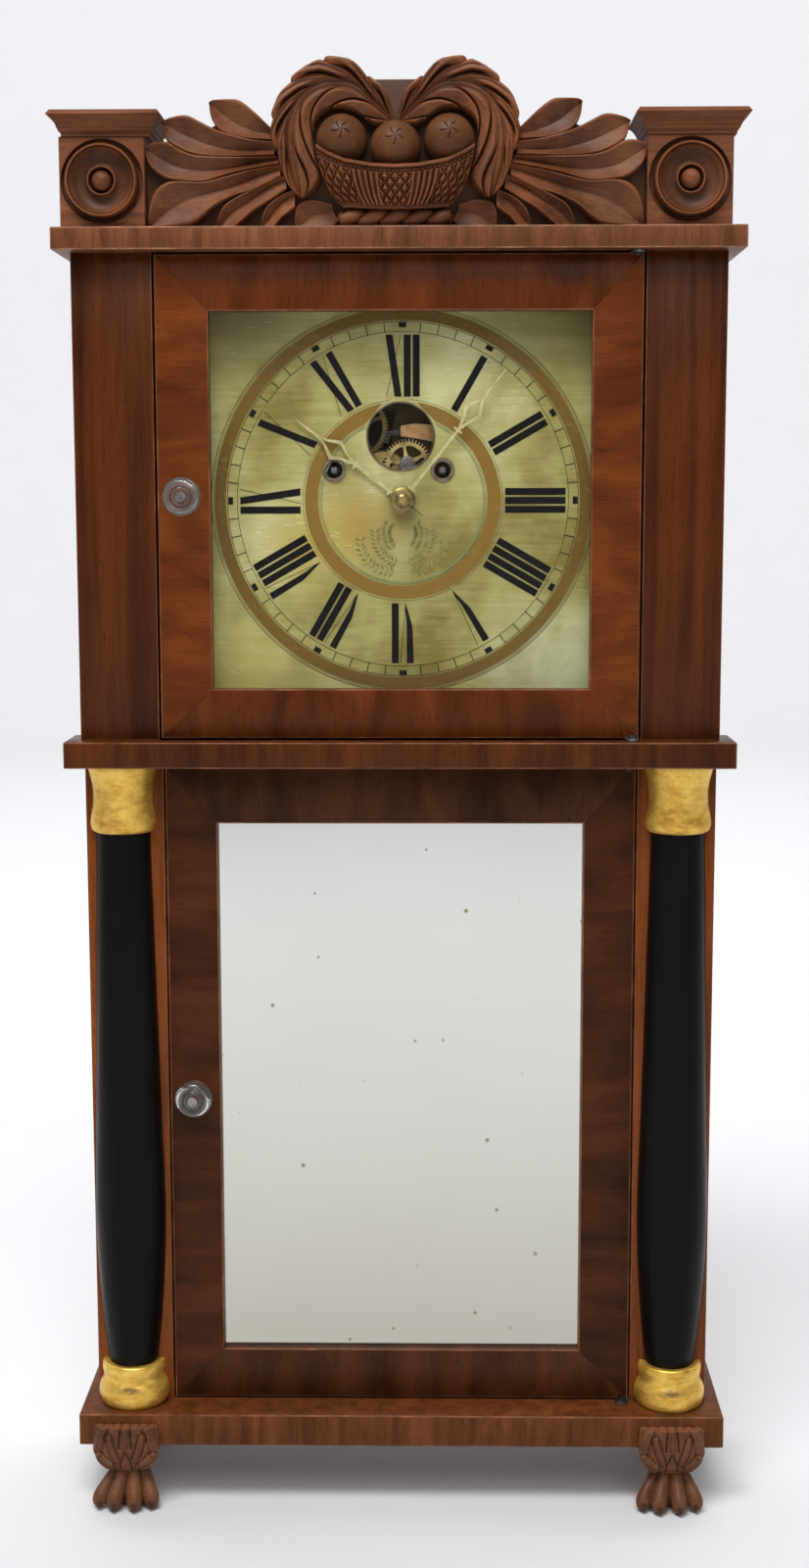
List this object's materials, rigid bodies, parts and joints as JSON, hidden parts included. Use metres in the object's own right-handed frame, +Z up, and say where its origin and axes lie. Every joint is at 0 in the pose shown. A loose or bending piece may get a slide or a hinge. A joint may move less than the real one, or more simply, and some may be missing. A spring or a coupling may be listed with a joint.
{
  "type": "shelf clock",
  "caption": "Tall wooden shelf clock with carved basket crest, painted square dial behind a glazed door, mirror door below, ebonised half columns with gilt ends and carved paw feet.",
  "frame": {"origin": "floor level under the middle of the overall footprint", "axes": "+X to the viewer's right, -Y towards the viewer (front), +Z up"},
  "size_m": [0.456, 0.15, 0.9896],
  "materials": {
    "mahogany": "old shellac polish",
    "bare_pine": "unfinished",
    "ebonised": "ebonised, satin",
    "gilding": "worn gilding over gesso",
    "pane": "clear old glass",
    "knob_glass": "pressed glass",
    "mirror": "old silvering",
    "dial_paint": "aged cream paint",
    "brass": "aged",
    "copper_brass": "aged reddish",
    "steel": "dull",
    "iron": "rough"
  },
  "bodies": {
    "case": {"base_board": "mahogany", "side_boards": "mahogany", "mid_shelf": "mahogany", "top_slab": "mahogany", "upper_pilasters": "mahogany", "column_boards": "mahogany", "corner_blocks": "mahogany", "block_caps": "mahogany", "rosettes": "mahogany", "crest_fans": "mahogany", "crest_basket": "mahogany", "crest_fruit": "mahogany", "paw_feet": "mahogany", "back_board": "bare_pine", "seat_board": "bare_pine", "rear_feet": "bare_pine", "crest_board": "bare_pine", "columns": "ebonised", "capitals": "gilding", "column_bases": "gilding", "dial_panel": "dial_paint", "front_plate": "brass", "back_plate": "brass", "plate_pillars": "brass", "bell": "brass", "verge_cock": "copper_brass", "hinge_pins": "steel", "dial_rings": "steel"},
    "upper_door": {"upper_door_frame": "mahogany", "upper_door_glass": "pane", "upper_hinge_plates": "steel"},
    "upper_latch_set": {"upper_knob": "knob_glass", "upper_latch": "steel"},
    "lower_door": {"lower_door_frame": "mahogany", "lower_mirror": "mirror", "mirror_backing": "bare_pine", "lower_hinge_plates": "steel"},
    "lower_latch_set": {"lower_knob": "knob_glass", "lower_latch": "steel"},
    "minute_set": {"minute_hand": "brass", "hand_nut": "brass", "cannon_pinion": "brass"},
    "hour_set": {"hour_hand": "brass", "hour_wheel": "brass"},
    "motion_set": {"minute_wheel": "brass"},
    "third_arbor": {"third_wheel": "brass"},
    "escape_arbor": {"escape_wheel": "brass"},
    "centre_arbor": {"centre_wheel": "brass"},
    "great_arbor": {"time_great_wheel": "brass"},
    "pin_arbor": {"pin_wheel": "brass"},
    "fly_arbor": {"fly": "brass"},
    "strike_great_arbor": {"strike_great_wheel": "brass"},
    "time_weight_set": {"time_weight": "iron"},
    "time_drum_set": {"time_drum": "brass"},
    "strike_weight_set": {"strike_weight": "iron"},
    "strike_drum_set": {"strike_drum": "brass"},
    "pendulum": {"pendulum_rod": "steel", "pendulum_bob": "brass"},
    "verge_set": {"verge": "steel"},
    "hammer_set": {"hammer": "steel"}
  },
  "joints": [
    {"name": "upper_door_hinge", "type": "hinge", "parent": "case", "child": "upper_door", "pos_m": [0.157, -0.0452, 0.705], "axis": [0, 0, 1], "range_deg": [0, 160]},
    {"name": "upper_latch_turn", "type": "hinge", "parent": "upper_door", "child": "upper_latch_set", "pos_m": [-0.1435, -0.041, 0.7073], "axis": [0, 1, 0], "range_deg": [0, 90]},
    {"name": "lower_door_hinge", "type": "hinge", "parent": "case", "child": "lower_door", "pos_m": [0.157, -0.0312, 0.297], "axis": [0, 0, 1], "range_deg": [0, 130]},
    {"name": "lower_latch_turn", "type": "hinge", "parent": "lower_door", "child": "lower_latch_set", "pos_m": [-0.1436, -0.027, 0.2932], "axis": [0, 1, 0], "range_deg": [0, 90]},
    {"name": "minute_turn", "type": "hinge", "parent": "case", "child": "minute_set", "pos_m": [0.002, 0, 0.7045], "axis": [0, 1, 0], "continuous": true},
    {"name": "hour_turn", "type": "hinge", "parent": "case", "child": "hour_set", "pos_m": [0.002, 0, 0.7045], "axis": [0, 1, 0], "continuous": true},
    {"name": "motion_turn", "type": "hinge", "parent": "case", "child": "motion_set", "pos_m": [0.002, 0, 0.6853], "axis": [0, 1, 0], "continuous": true},
    {"name": "third_turn", "type": "hinge", "parent": "case", "child": "third_arbor", "pos_m": [-0.01122, 0, 0.7217], "axis": [0, 1, 0], "continuous": true},
    {"name": "escape_turn", "type": "hinge", "parent": "case", "child": "escape_arbor", "pos_m": [0.005, 0, 0.7295], "axis": [0, 1, 0], "continuous": true},
    {"name": "centre_turn", "type": "hinge", "parent": "case", "child": "centre_arbor", "pos_m": [0.002, 0, 0.7045], "axis": [0, 1, 0], "continuous": true},
    {"name": "great_turn", "type": "hinge", "parent": "case", "child": "great_arbor", "pos_m": [0.029, 0, 0.725], "axis": [0, 1, 0], "continuous": true},
    {"name": "pin_turn", "type": "hinge", "parent": "case", "child": "pin_arbor", "pos_m": [-0.03149, 0, 0.7558], "axis": [0, 1, 0], "continuous": true},
    {"name": "fly_turn", "type": "hinge", "parent": "case", "child": "fly_arbor", "pos_m": [-0.0115, 0, 0.77164], "axis": [0, 1, 0], "continuous": true},
    {"name": "strike_great_turn", "type": "hinge", "parent": "case", "child": "strike_great_arbor", "pos_m": [-0.0445, 0, 0.725], "axis": [0, 1, 0], "continuous": true},
    {"name": "time_wind", "type": "slide", "parent": "case", "child": "time_weight_set", "axis": [0, 0, 1], "range_m": [0, 0.36]},
    {"name": "time_drum_turn", "type": "hinge", "parent": "case", "child": "time_drum_set", "pos_m": [0.029, 0, 0.725], "axis": [0, 1, 0], "range_deg": [0, 1473.32]},
    {"name": "strike_wind", "type": "slide", "parent": "case", "child": "strike_weight_set", "axis": [0, 0, 1], "range_m": [0, 0.36]},
    {"name": "strike_drum_turn", "type": "hinge", "parent": "case", "child": "strike_drum_set", "pos_m": [-0.0445, 0, 0.725], "axis": [0, 1, 0], "range_deg": [0, 1473.32]},
    {"name": "pendulum_swing", "type": "hinge", "parent": "case", "child": "pendulum", "pos_m": [0.005, 0.053, 0.7515], "axis": [0, 1, 0], "range_deg": [-3, 3]},
    {"name": "verge_rock", "type": "hinge", "parent": "case", "child": "verge_set", "pos_m": [0.005, 0, 0.7515], "axis": [0, 1, 0], "range_deg": [-3, 3]},
    {"name": "hammer_lift", "type": "hinge", "parent": "case", "child": "hammer_set", "pos_m": [0.03, 0.023, 0.776], "axis": [0, 1, 0], "range_deg": [0, 25]}
  ],
  "couplings": [
    {"joint": "hour_turn", "follows": "minute_turn", "ratio": 0.083333},
    {"joint": "motion_turn", "follows": "minute_turn", "ratio": -0.33333},
    {"joint": "escape_turn", "follows": "third_turn", "ratio": -11},
    {"joint": "centre_turn", "follows": "third_turn", "ratio": -0.14815},
    {"joint": "great_turn", "follows": "third_turn", "ratio": 0.024691},
    {"joint": "fly_turn", "follows": "pin_turn", "ratio": -7.5},
    {"joint": "strike_great_turn", "follows": "pin_turn", "ratio": -0.15152},
    {"joint": "time_drum_turn", "follows": "time_wind", "rad_per_m": 71.429},
    {"joint": "strike_drum_turn", "follows": "strike_wind", "rad_per_m": 71.429},
    {"joint": "verge_rock", "follows": "pendulum_swing", "ratio": 1}
  ]
}
